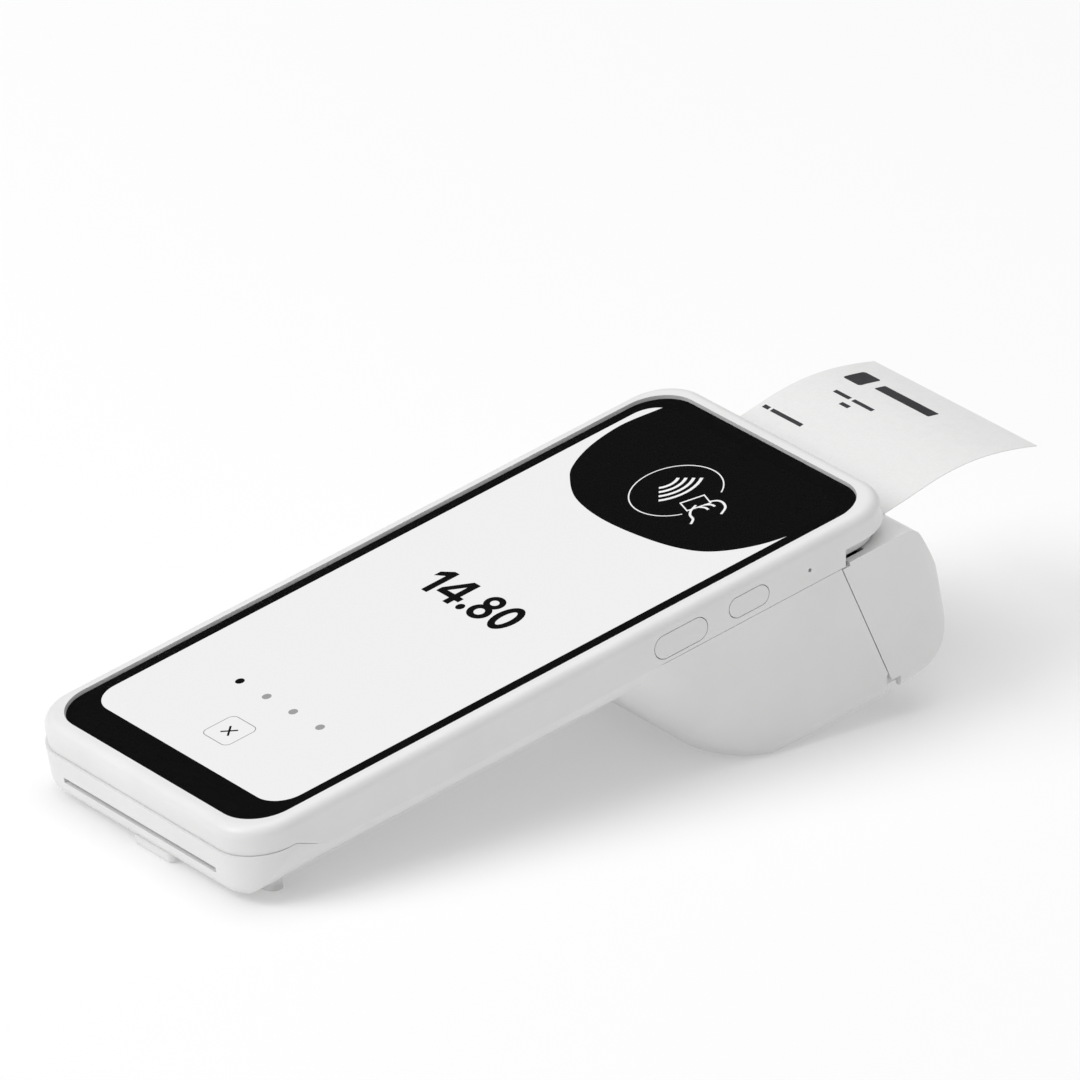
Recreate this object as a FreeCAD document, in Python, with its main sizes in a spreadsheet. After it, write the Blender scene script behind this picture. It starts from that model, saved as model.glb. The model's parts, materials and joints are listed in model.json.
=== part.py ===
"""Handheld card payment terminal with a built-in receipt printer.

Every sub-part is drawn in the device's own frame and then stood on the table by one shared
placement.  Device frame, millimetres: X to the right, Y towards the printer end, Z out of the
screen; the origin is the middle of the cover glass's front edge, on its top surface.
Row frame: +Z up, the table is z = 0, and the origin is the middle of the footprint's box.
"""
import FreeCAD, Part
import Sketcher
import math
import os
import re

V = FreeCAD.Vector
doc = FreeCAD.newDocument("payment_terminal")
sheet = doc.addObject("Spreadsheet::Sheet", "sizes")
value = {}
nodes = []


# ---------------------------------------------------------------- sheet and binding helpers
def dims(**sizes):
    """Add driving dimensions to the sheet, one row each: name in column A, number in column B."""
    for alias, number in sizes.items():
        row = len(value) + 1
        sheet.set(f"A{row}", alias)
        sheet.set(f"B{row}", repr(number))
        sheet.setAlias(f"B{row}", alias)
        value[alias] = number
    doc.recompute()


def linked(formula):
    """Turn 'glass_width / 2' into the expression 'sizes.glass_width / 2'."""
    return re.sub(r"[a-z][a-z_]*[a-z]\b", lambda word: "sizes." + word.group(0), str(formula))


def number(formula):
    """The present value of a formula, for geometry that is built in code."""
    names = re.sub(r"[a-z][a-z_]*[a-z]\b", lambda word: repr(value[word.group(0)]), str(formula))
    parsed = sheet.evalExpression(names)
    return float(getattr(parsed, "Value", parsed))


def bind(item, prop, formula):
    item.setExpression(prop, linked(formula))


def place(item, at):
    for axis, formula in zip("xyz", at):
        bind(item, f"Placement.Base.{axis}", formula)


def named(kind, name):
    return doc.addObject(kind, name)


# ---------------------------------------------------------------- solid helpers
def box(name, x, y, z):
    """A box from (low, high) formulas on each axis."""
    item = named("Part::Box", name)
    for prop, (low, high) in zip(("Length", "Width", "Height"), (x, y, z)):
        bind(item, prop, f"({high}) - ({low})")
    place(item, (x[0], y[0], z[0]))
    return item


def rod(name, radius, x, centre):
    """A cylinder along X, from x[0] to x[1], about the (y, z) centre."""
    item = named("Part::Cylinder", name)
    item.Placement = FreeCAD.Placement(V(), FreeCAD.Rotation(V(0, 1, 0), 90))
    bind(item, "Radius", radius)
    bind(item, "Height", f"({x[1]}) - ({x[0]})")
    place(item, (x[0], centre[0], centre[1]))
    return item


def post(name, radius, centre, z):
    """A cylinder along Z about the (x, y) centre."""
    item = named("Part::Cylinder", name)
    bind(item, "Radius", radius)
    bind(item, "Height", f"({z[1]}) - ({z[0]})")
    place(item, (centre[0], centre[1], z[0]))
    return item


def join(name, *items):
    item = named("Part::MultiFuse", name)
    item.Shapes = list(items)
    item.Refine = True
    return item


def cut(name, base, *tools):
    item = named("Part::Cut", name)
    item.Base = base
    item.Tool = tools[0] if len(tools) == 1 else join(name + "_tools", *tools)
    item.Refine = True
    return item


def common(name, *items):
    item = named("Part::MultiCommon", name)
    item.Shapes = list(items)
    item.Refine = True
    return item


def rounded(name, base, radius, wanted):
    """Fillet the edges of base that the test `wanted` picks, with one radius."""
    return rounded_each(name, base, lambda edge: radius if wanted(edge) else None)


def rounded_each(name, base, radius_of):
    """Fillet each edge of base with the radius that `radius_of` gives for it, if it gives one."""
    doc.recompute()
    item = named("Part::Fillet", name)
    item.Base = base
    picks = [(i + 1, radius_of(edge)) for i, edge in enumerate(base.Shape.Edges)]
    item.Edges = [(i, number(radius), number(radius)) for i, radius in picks if radius]
    return item


def plane_of(body, role):
    return next(f for f in body.Origin.OriginFeatures if f.Role == role)


def new_sketch(body, role, offset):
    """A sketch on an origin plane of its own body, with its origin moved by (x, y, z)."""
    item = body.newObject("Sketcher::SketchObject", body.Name + "_sketch")
    item.AttachmentSupport = [(plane_of(body, role), "")]
    item.MapMode = "FlatFace"
    for axis, formula in zip("xyz", offset):
        bind(item, f"AttachmentOffset.Base.{axis}", formula)
    return item


def fix(drawing, kind, where, formula):
    """Add one dimension to a sketch and bind it to the sheet."""
    index = drawing.addConstraint(Sketcher.Constraint(kind, *where, number(formula)))
    bind(drawing, f"Constraints[{index}]", formula)


def polygon(drawing, points):
    """A closed outline through (formula, formula) points, each one dimensioned."""
    spots = [V(number(a), number(b), 0) for a, b in points]
    lines = [Part.LineSegment(p, spots[(i + 1) % len(spots)]) for i, p in enumerate(spots)]
    drawing.addGeometry(lines, False)
    for i in range(len(spots)):
        following = (i + 1) % len(spots)
        drawing.addConstraint(Sketcher.Constraint("Coincident", i, 2, following, 1))
    for i, (a, b) in enumerate(points):
        fix(drawing, "DistanceX", (-1, 1, i, 1), a)
        fix(drawing, "DistanceY", (-1, 1, i, 1), b)


def soft_rectangle(drawing, width, height, radius):
    """A rectangle with four equal round corners, centred on the sketch's origin."""
    a, b, r = number(width) / 2, number(height) / 2, number(radius)
    turns = ((1, 1), (-1, 1), (-1, -1), (1, -1))
    for i, (sx, sy) in enumerate(turns):
        start = math.pi / 2 * i
        circle = Part.Circle(V(sx * (a - r), sy * (b - r), 0), V(0, 0, 1), r)
        drawing.addGeometry(Part.ArcOfCircle(circle, start, start + math.pi / 2), False)
    for i in range(4):
        first, second = drawing.Geometry[i], drawing.Geometry[(i + 1) % 4]
        drawing.addGeometry(Part.LineSegment(first.EndPoint, second.StartPoint), False)
        drawing.addConstraint(Sketcher.Constraint("Tangent", i, 2, 4 + i, 1))
    for i, (sx, sy) in enumerate(turns):
        drawing.addConstraint(Sketcher.Constraint("Tangent", 4 + i, 2, (i + 1) % 4, 1))
        fix(drawing, "DistanceX", (-1, 1, i, 3), f"{sx} * (({width}) / 2 - ({radius}))")
        fix(drawing, "DistanceY", (-1, 1, i, 3), f"{sy} * (({height}) / 2 - ({radius}))")
        fix(drawing, "Radius", (i,), radius)


def pad(body, drawing, length, both_ways=False):
    item = body.newObject("PartDesign::Pad", body.Name + "_pad")
    item.Profile = drawing
    bind(item, "Length", length)
    item.Midplane = both_ways
    body.Tip = item
    return item


def plate(name, x, y, z, radius):
    """A flat plate with round corners in plan, from (low, high) formulas on each axis."""
    body = named("PartDesign::Body", name)
    centre = (f"(({x[0]}) + ({x[1]})) / 2", f"(({y[0]}) + ({y[1]})) / 2", z[0])
    drawing = new_sketch(body, "XY_Plane", centre)
    soft_rectangle(drawing, f"({x[1]}) - ({x[0]})", f"({y[1]}) - ({y[0]})", radius)
    pad(body, drawing, f"({z[1]}) - ({z[0]})")
    return body


def prism(name, half_width, points):
    """A side outline of (y, z) points, padded both ways along X."""
    body = named("PartDesign::Body", name)
    drawing = new_sketch(body, "YZ_Plane", ("0", "0", "0"))
    polygon(drawing, points)
    pad(body, drawing, f"2 * ({half_width})", both_ways=True)
    return body


def capsule(name, x, y, z):
    """A stadium-shaped block for a side key: rounded ends in the Y-Z plane, thick along X."""
    body = named("PartDesign::Body", name)
    centre = (f"(({y[0]}) + ({y[1]})) / 2", f"(({z[0]}) + ({z[1]})) / 2", x[0])
    drawing = new_sketch(body, "YZ_Plane", centre)
    height = f"({z[1]}) - ({z[0]})"
    soft_rectangle(drawing, f"({y[1]}) - ({y[0]})", height, f"0.496 * ({height})")
    pad(body, drawing, f"({x[1]}) - ({x[0]})")
    return body


def gear(name, teeth, x, centre, bore, first_tooth=0.0):
    """A spur gear along X: a toothed outline in code, because its flanks follow a formula."""
    module, low, high = value["gear_module"], number(x[0]), number(x[1])
    pitch = module * teeth / 2
    radii = (pitch - 1.25 * module, pitch - 0.2 * module, pitch + 0.45 * module, pitch + module)
    halves = (0.33, 0.27, 0.17, 0.10)
    spots = []
    for tooth in range(teeth):
        middle = first_tooth + 2 * math.pi * tooth / teeth
        flank = [(r, 2 * math.pi / teeth * h) for r, h in zip(radii, halves)]
        angles = [(r, middle - h) for r, h in flank] + [(r, middle + h) for r, h in reversed(flank)]
        spots += [V(0, r * math.cos(a), r * math.sin(a)) for r, a in angles]
    outline = Part.Face(Part.makePolygon(spots + spots[:1]))
    solid = outline.extrude(V(high - low, 0, 0))
    if bore:
        solid = solid.cut(Part.makeCylinder(number(bore), high - low, V(), V(1, 0, 0)))
    solid.translate(V(low, number(centre[0]), number(centre[1])))
    item = named("Part::Feature", name)
    item.Shape = solid
    return item


def subpart(label, item):
    """Register one named sub-part, stood on the table by the shared placement."""
    holder = named("Part::Compound", "node_" + label)
    holder.Links = [item]
    holder.Label = label
    turn = FreeCAD.Rotation(V(1, 0, 0), value["stance_angle"])
    holder.Placement = FreeCAD.Placement(V(), turn)
    bind(holder, "Placement.Rotation.Angle", "stance_angle")
    bind(holder, "Placement.Base.y", "stance_shift")
    bind(holder, "Placement.Base.z", "stance_lift")
    nodes.append(holder)


# ---------------------------------------------------------------- driving dimensions
dims(stance_angle=11.586, stance_shift=-103.67, foot_side=31.0, foot_place=5.7, foot_radius=2.25)
dims(foot_top=-15.0, foot_low=-19.5)
LEAN = math.radians(value["stance_angle"])
dims(table_slope=round(math.tan(LEAN), 5))
dims(stance_lift=round(-value["foot_place"] * math.sin(LEAN) - value["foot_low"] * math.cos(LEAN), 4))
dims(glass_width=74.0, glass_length=164.0, glass_thick=0.8, glass_corner=9.5)
dims(body_width=81.0, body_front=-4.0, body_rear=168.0, body_corner=11.0, body_under=-16.2)
dims(lip_front=-4.7, lip_top=-6.2, lip_back=8.0, parting=-9.9, parting_front=15.0)
dims(groove_front=151.7, groove_top=-6.0, groove_floor=-9.3)
dims(wall=2.2, seam=0.12, lid_seam=0.25, far=60.0)
dims(gear_module=0.5, running_gap=0.04)
HALF = "body_width / 2"
IN = "body_width / 2 - wall"


# ---------------------------------------------------------------- outer shape shared by the shells
POD_SIDE = (
    ("pod_front", "parting"), ("pod_knee", "pod_knee_low"), ("pod_toe", "pod_toe_low"),
    ("pod_base", "pod_base_low"), ("pod_heel", "pod_heel_low"), ("pod_back", "pod_back_low"),
    ("pod_tail", "pod_tail_low"), ("pod_tail_top", "pod_tail_mid"), ("pod_brow", "groove_floor"),
    ("pod_front", "groove_floor"),
)
dims(pod_front=88.9, pod_knee=112.6, pod_knee_low=-39.2)
dims(pod_toe=119.0, pod_toe_low=-42.2, pod_base=129.0, pod_base_low=-44.2)
dims(pod_heel=146.0, pod_heel_low=-45.8, pod_back=164.0, pod_back_low=-43.8)
dims(pod_tail=176.5, pod_tail_low=-39.0, pod_tail_top=180.6, pod_tail_mid=-31.0, pod_brow=171.0)
dims(pod_front_round=12.0, pod_rear_round=14.5, pod_edge_round=5.0)
dims(toe_round=28.0, base_round=80.0, heel_round=80.0, back_round=55.0, tail_round=12.0)
dims(tail_top_round=8.0, brow_round=6.0)
POD_ROUNDS = ("toe_round", "base_round", "heel_round", "back_round", "tail_round", "tail_top_round",
              "brow_round")
FIRST_ROUND = 2


def inset_profile(gap):
    """The pod's side outline moved inwards by the wall thickness."""
    return (
        (f"pod_front + 1.35 * {gap}", "parting"), (f"pod_knee + 0.95 * {gap}", f"pod_knee_low + {gap} / 2"),
        (f"pod_toe + {gap} / 2", f"pod_toe_low + {gap}"), ("pod_base", f"pod_base_low + {gap}"),
        ("pod_heel", f"pod_heel_low + {gap}"), (f"pod_back - {gap} / 3", f"pod_back_low + {gap}"),
        (f"pod_tail - 0.7 * {gap}", f"pod_tail_low + 0.8 * {gap}"),
        (f"pod_tail_top - {gap}", "pod_tail_mid"),
        (f"pod_brow - {gap} / 4", f"groove_floor - {gap}"),
        (f"pod_front + 1.35 * {gap}", f"groove_floor - {gap} / 9"),
    )


def is_front_wall_edge(edge, side):
    """The two slanted edges between the pod's front wall and its sides."""
    middle = edge.CenterOfMass
    return abs(abs(middle.x) - side) < 0.01 and middle.y < value["pod_knee"] and middle.z < -15


def tunnel(name, half_width, low, radius):
    """An endless bar along Y whose lower corners, at the height `low`, are round."""
    section = named("PartDesign::Body", name)
    drawing = new_sketch(section, "XZ_Plane", ("0", "0", "0"))
    soft_rectangle(drawing, f"2 * ({half_width})", f"-2 * ({low})", radius)
    pad(section, drawing, "8 * far", both_ways=True)
    return section


def outline_rounds(points, extra):
    """A function that gives the radius for each cross-wise edge of the pod's side outline."""
    spots = [(number(y), number(z)) for y, z in points[FIRST_ROUND:FIRST_ROUND + len(POD_ROUNDS)]]

    def radius_of(edge):
        middle = edge.CenterOfMass
        for (y, z), radius in zip(spots, POD_ROUNDS):
            if math.hypot(middle.y - y, middle.z - z) < 0.001:
                return f"{radius} - {extra}"
        return None

    return radius_of


def pod_solid(name, half_width, points, extra):
    """The printer pod: side outline, round front wall, round rear corners and lower corners."""
    prism_block = prism(name + "_block", half_width, points)
    block = rounded_each(name + "_smooth", prism_block, outline_rounds(points, extra))
    side = rounded(name + "_side", block, f"pod_front_round - {extra}",
                   lambda e: is_front_wall_edge(e, number(half_width)))
    plan = plate(name + "_plan", (f"-({half_width})", half_width), ("0", f"pod_tail_top - {extra}"),
                 ("-far", "0"), f"pod_rear_round - {extra}")
    section = tunnel(name + "_section", half_width, f"pod_heel_low + {extra}",
                     f"pod_edge_round - {extra} / 2")
    return common(name, side, plan, section)


def body_block(name, grow, z, radius):
    """The thin tablet-shaped block, grown outwards by `grow`."""
    return plate(name, (f"-({HALF}) - ({grow})", f"{HALF} + ({grow})"),
                 (f"body_front - ({grow})", f"body_rear + ({grow})"), z, radius)


# ---------------------------------------------------------------- top housing
def above_parting(name, gap):
    """Everything above the line where the top and lower housings meet."""
    points = (("-far", "far"), ("-far", f"lip_top + {gap}"), ("lip_back", f"lip_top + {gap}"),
              ("parting_front", f"parting + {gap}"), ("groove_front", f"parting + {gap}"),
              ("groove_front + 0.8", "groove_top"), ("4 * far", "groove_top"), ("4 * far", "far"))
    return prism(name, "far", points)


dims(volume_front=101.6, volume_back=115.4, volume_low=-8.8, volume_high=-3.5)
dims(power_front=121.4, power_back=131.8, power_low=-8.3, power_high=-3.7)
dims(key_gap=0.18, mic_place=142.8, mic_height=-6.3, mic_radius=0.45)
dims(edge_round=2.6, glass_gap=0.12, ledge=2.4, window_side=35.6, window_front=5.2, window_back=161.8)
dims(boss_radius=2.5, screw_radius=0.9, screw_side=33.5, screw_front=9.5, screw_back=86.0)
dims(screw_head=1.7, screw_seat=-14.5, screw_tip=-7.0)
VOLUME = (("volume_front", "volume_back"), ("volume_low", "volume_high"))
POWER = (("power_front", "power_back"), ("power_low", "power_high"))
SCREWS = tuple((f"{side} * screw_side", place) for place in ("screw_front", "screw_back")
               for side in (-1, 1))


def key_block(name, x, span, grow):
    """A side key's outline, grown by `grow`, between the X positions."""
    (front, back), (low, high) = span
    return capsule(name, x, (f"{front} - ({grow})", f"{back} + ({grow})"),
                   (f"{low} - ({grow})", f"{high} + ({grow})"))


def screw_posts(name, radius, z):
    return [post(f"{name}_{i}", radius, centre, z) for i, centre in enumerate(SCREWS)]


def top_housing():
    block = body_block("top_block", "0", ("-far", "0"), "body_corner")
    rim = rounded("top_rim", block, "edge_round", lambda e: abs(e.BoundBox.ZMin) < 1e-6)
    hollow = plate("top_hollow", (f"-({IN})", IN), ("body_front + wall", "body_rear - wall"),
                   ("-2 * far", "-ledge"), "body_corner - wall")
    half = "glass_width / 2 + glass_gap"
    pocket = plate("glass_pocket", (f"-({half})", half), ("-glass_gap", "glass_length + glass_gap"),
                   ("-glass_thick - 0.3", "1"), "glass_corner + glass_gap")
    window = plate("glass_window", ("-window_side", "window_side"), ("window_front", "window_back"),
                   ("-far", "1"), "6")
    mic = rod("mic_bore", "mic_radius", (f"{HALF} - 2 * wall", f"{HALF} + 1"), ("mic_place", "mic_height"))
    through = (f"{HALF} - 2 * wall", f"{HALF} + 1")
    holes = [key_block("volume_hole", through, VOLUME, "key_gap"),
             key_block("power_hole", through, POWER, "key_gap")]
    shell = common("top_shell", rim, above_parting("top_side", "seam"))
    bosses = screw_posts("top_boss", "boss_radius", ("parting + 2 * seam", "-ledge + 0.1"))
    pilots = screw_posts("top_pilot", "screw_radius", ("-far", "screw_tip + 0.1"))
    open_shell = cut("top_open", shell, hollow, mic, *holes)
    whole = join("top_bossed", open_shell, *bosses)
    subpart("top_housing", cut("top_cut", whole, pocket, window, *pilots))


# ---------------------------------------------------------------- lower housing, cover and lid
dims(hinge_place=160.5, hinge_height=-41.4, hinge_radius=2.0)
dims(hinge_pin_radius=0.87, swing_room=3.8, lug_room=4.4)
dims(seam_top=150.7, seam_low=158.2, under_round=2.6, side_round=9.0)
dims(chin_left=-4.0, chin_right=10.0, chin_back=4.0, chin_low=-17.1, chin_corner=1.5)
dims(cover_front=13.0, cover_back=83.0, cover_split=-13.3, upstand_gap=0.3)
dims(shoulder_gap=0.4, upstand_top=-5.2, upstand_start=146.2)
dims(upstand_wall=1.3, upstand_root=2.0, rib_gap=0.2)
dims(slot_back=8.0, lug_start=152.0, lug_clear=0.6, lug_under=2.0, lug_over=1.5, lug_foot=2.9)
dims(web_reach=4.0, web_over=1.6, lid_side=0.5, lid_shell=0.6, lug_side=0.3, lug_end=0.4)
dims(arm_over=3.2, arm_under=3.4, shelf_side=3.0, shelf_lead=2.6, shelf_thick=2.0)
dims(slot_half=27.6, slot_low=-12.2, slot_high=-10.9, slot_corner=0.6, mouth_half=29.4)
dims(pad_front=121.0, pad_back=131.0, pad_half=26.0, pad_width=12.0, pad_deep=1.2)
dims(usb_place=96.0, usb_height=-12.2, usb_half=4.7, usb_thick=3.4)
dims(usb_deep=5.0, sound_hole=0.8, sound_pitch=3.6, sound_start=12.0, sound_place=94.5, sound_roof=-12.0)
dims(barrel_half=34.3, lug_in=34.6, lug_out=37.8, pin_half=37.7)
HINGE = ("hinge_place", "hinge_height")
PADS = {"left": -1, "right": 1}


def lid_region(name, gap):
    """Everything behind the lid's side seam; the seam leans back towards the hinge."""
    points = ((f"seam_top + {gap}", "2"), (f"seam_top + {gap}", "groove_floor"),
              (f"seam_low + {gap}", "hinge_height"), (f"hinge_place + {gap}", "hinge_height"),
              (f"hinge_place + {gap}", "-far"), ("4 * far", "-far"), ("4 * far", "2"))
    return prism(name, "far", points)


def tray_solid(name, half_width, low, extra):
    """The thin lower tray: tight round at its front edge, wide round along its sides."""
    block = plate(name + "_block", (f"-({half_width})", half_width),
                  (f"lip_front + {extra}", f"seam_top + {extra}"), (low, "0"), f"body_corner - {extra}")
    soft = rounded(name + "_soft", block, f"under_round - {extra}",
                   lambda e: abs(e.BoundBox.ZMax - number(low)) < 1e-6)
    return common(name, soft, tunnel(name + "_tunnel", half_width, low, f"side_round - {extra}"))


def tray_pair(name):
    """The tray's outside and its hollow."""
    outside = tray_solid(name + "_outer", HALF, "body_under", "0")
    inside = tray_solid(name + "_inner", IN, "body_under + wall", "wall")
    return outside, inside


def below_table(name):
    """Everything under the plane that the terminal stands on."""
    line = "foot_low - ({0} - foot_place) * table_slope"
    ends = ("-far", "4 * far")
    points = [(y, line.format(y)) for y in ends] + [("4 * far", "-3 * far"), ("-far", "-3 * far")]
    return prism(name, "far", points)


def side_span(side, low, high):
    """An X span mirrored to the given side of the middle."""
    return (low, high) if side > 0 else (f"-({high})", f"-({low})")


def upstand():
    """The low wall inside the shell that closes the groove around the lid's shoulders."""
    side = f"{IN} - upstand_gap"
    rear = "body_rear - wall - upstand_gap"
    ring = plate("upstand_out", (f"-({side})", side), ("0", rear),
                 ("parting - upstand_root", "upstand_top"),
                 "body_corner - wall")
    core = plate("upstand_in", (f"-({side}) + upstand_wall", f"{side} - upstand_wall"),
                 ("0", f"{rear} - upstand_wall"), ("-far", "0"),
                 "body_corner - wall - upstand_wall")
    keep = prism("upstand_keep", "far", (
        ("upstand_start", "0"), ("upstand_start", "parting - upstand_root"),
        ("seam_top - lug_clear", "parting - upstand_root"),
        ("seam_top - lug_clear", "groove_floor + shoulder_gap"), ("4 * far", "groove_floor + shoulder_gap"),
        ("4 * far", "0")))
    mouth = box("upstand_mouth", ("-mouth_half", "mouth_half"), ("seam_top", "4 * far"), ("-far", "0"))
    wall_ring = cut("upstand", common("upstand_ring", ring, keep), core, mouth)
    ribs = [box(f"upstand_rib_{i}", side_span(way, f"{side} - upstand_wall", f"{side} + 1"),
                ("upstand_start", "seam_top - 1"), ("parting - upstand_root", "parting - rib_gap")) for i,
                way in enumerate((-1, 1))]
    return [wall_ring] + ribs


def lower_housing():
    outer, inner = tray_pair("low_tray")
    chin = plate("low_chin", ("chin_left", "chin_right"), ("lip_front", "chin_back"),
                 ("chin_low", "body_under + 1"),
                 "chin_corner")
    outside = join("low_outside", outer, chin, pod_solid("low_pod", HALF, POD_SIDE, "0"))
    hollow = join("low_hollow", inner, pod_solid("low_pod_inside", IN, inset_profile("wall"), "wall"))
    cover = box("low_cover", ("-far", "far"), ("cover_front - seam", "cover_back + seam"),
                ("-far", "cover_split + seam"))
    swing = rod("low_hinge_room", "swing_room", ("-far", "far"), HINGE)
    slot = plate("card_slot", ("-slot_half", "slot_half"), ("-far", "slot_back"),
                 ("slot_low", "slot_high"), "slot_corner")
    usb = capsule("usb_hole", (f"-({HALF}) - 1", f"-({IN}) + usb_deep"),
                  ("usb_place - usb_half", "usb_place + usb_half"),
                  ("usb_height - usb_thick / 2", "usb_height + usb_thick / 2"))
    shell = cut("low_shell", outside, above_parting("low_side", "0"), lid_region("low_lid", "0 - lid_seam"),
                cover, swing, hollow, slot, usb)
    lugs = []
    for side_name, way in PADS.items():
        span = side_span(way, "lug_in", "lug_out")
        lugs.append(rod(f"lug_eye_{side_name}", "hinge_radius", span, HINGE))
        lugs.append(box(f"lug_arm_{side_name}", span, ("lug_start", "hinge_place"),
                        ("hinge_height - lug_under", "hinge_height + lug_over")))
        lugs.append(box(f"lug_foot_{side_name}", span, ("lug_start", "seam_low - lug_clear"),
                        ("hinge_height - lug_foot", "hinge_height")))
    bosses = screw_posts("low_boss", "boss_radius", ("screw_seat - 0.3", "parting - seam"))
    pads = [box(f"pad_hole_{i}", (f"{way} * pad_half - pad_width / 2", f"{way} * pad_half + pad_width / 2"),
                ("pad_front", "pad_back"), ("-far", "pod_base_low + pad_deep")) for i,
                way in enumerate((-1, 1))]
    feet = [post(f"foot_hole_{i}", "foot_radius", (f"{way} * foot_side", "foot_place"),
                 ("-far", "foot_top"))
            for i, way in enumerate((-1, 1))]
    sound = [post(f"sound_hole_{i}", "sound_hole", (f"sound_start + {i} * sound_pitch", "sound_place"),
                  ("-far", "sound_roof"))
             for i in range(5)]
    seats = screw_posts("low_seat", "screw_head + 0.15", ("-far", "screw_seat"))
    shanks = screw_posts("low_shank", "screw_radius + 0.05", ("-far", "0"))
    pin = rod("low_pin_bore", "hinge_pin_radius", ("-far", "far"), HINGE)
    whole = join("low_whole", shell, *upstand(), *lugs, *bosses)
    subpart("lower_housing", cut("low_cut", whole, pin, *pads, *feet, *sound, *seats, *shanks))


def battery_cover():
    outer, inner = tray_pair("cover_tray")
    keep = box("cover_keep", ("-far", "far"), ("cover_front", "cover_back"), ("-far", "cover_split"))
    subpart("battery_cover", common("cover_slab", cut("cover_shell", outer, inner), keep))


dims(platen_place=161.5, platen_height=-16.2, platen_radius=4.0, shaft_radius=1.5, paper_half=28.5)
dims(arm_in=34.4, arm_out=36.6, lid_wall=1.9, arm_back=177.5, web_top=-11.6, tear_top=-11.15)
dims(tear_front=169.2, tear_back=171.4, tear_pitch=1.9, tear_gap=0.9, room_shoulder=158.2, room_half=34.2)
dims(room_back=164.3, room_low=-14.0, brow_gap=1.2)
PLATEN = ("platen_place", "platen_height")


def printer_lid():
    hollow = pod_solid("lid_hollow", f"{HALF} - lid_wall", inset_profile("lid_wall"), "lid_wall")
    block = common("lid_block", pod_solid("lid_pod", HALF, POD_SIDE, "0"), lid_region("lid_keep", "0"))
    below = box("lid_below", ("-far", "far"), ("0", "hinge_place"), ("-far", "hinge_height + 0.2"))
    skin = cut("lid_skin", block, hollow, below)
    barrel = rod("lid_barrel", "hinge_radius", ("-barrel_half", "barrel_half"), HINGE)
    web = box("lid_web", ("-barrel_half", "barrel_half"), ("hinge_place", "hinge_place + web_reach"),
              ("hinge_height - lug_under", "hinge_height + web_over"))
    inside = pod_solid("lid_inside", f"{HALF} - lid_side", inset_profile("lid_shell"), "lid_shell")
    beams = [box(f"lid_arm_{i}", side_span(way, "arm_in", "arm_out"),
                 ("platen_place - arm_over", "arm_back"),
                 ("platen_height - arm_under", "platen_height + arm_over")) for i,
                 way in enumerate((-1, 1))]
    shelf = box("lid_shelf", ("-mouth_half - shelf_side", "mouth_half + shelf_side"),
                ("tear_front - shelf_lead", "4 * far"),
                ("web_top - shelf_thick", "web_top"))
    ribs = common("lid_ribs", join("lid_beams", shelf, *beams), inside)
    ramp = box("lid_ramp", ("-mouth_half", "mouth_half"), ("0", "4 * far"), ("web_top", "0"))
    bearing = rod("lid_bearing", "shaft_radius + running_gap", ("-arm_out - 0.1", "arm_out + 0.1"), PLATEN)
    pin = rod("lid_pin_bore", "hinge_pin_radius + running_gap", ("-lug_out", "lug_out"), HINGE)
    gaps = [rod(f"lid_lug_room_{i}", "lug_room", side_span(way, "lug_in - lug_side", "lug_out + lug_end"),
                HINGE)
            for i, way in enumerate((-1, 1))]
    shoulder = f"{HALF} - lid_wall"
    front_room = box("lid_front_room", (f"-({shoulder})", shoulder), ("0", "room_shoulder"),
                     ("room_low", "0"))
    middle_room = box("lid_middle_room", ("-room_half", "room_half"), ("0", "room_back"), ("room_low", "0"))
    brow_room = box("lid_brow_room", ("-far", "far"), ("0", "groove_front + brow_gap"),
                    ("parting - lid_seam", "0"))
    whole = join("lid_whole", skin, barrel, web, ribs)
    subpart("printer_lid",
            cut("lid_cut", whole, ramp, bearing, pin, front_room, middle_room, brow_room, *gaps))


# ---------------------------------------------------------------- screen stack
dims(gasket_half=36.9, gasket_inner=35.7, gasket_thick=0.3)
dims(gasket_edge=0.1, gasket_corner=9.4, window_corner=6.0)
dims(panel_half=35.0, panel_front=5.8, panel_back=161.2, panel_low=-2.6, panel_corner=5.5, optical_gap=0.14)
dims(camera_place=158.6, camera_radius=1.9, camera_base=2.9, camera_low=-5.0)
dims(frame_half=36.9, frame_front=-1.2, frame_rear=164.8, frame_low=-3.7, frame_top=-2.9, frame_corner=8.0)


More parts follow.
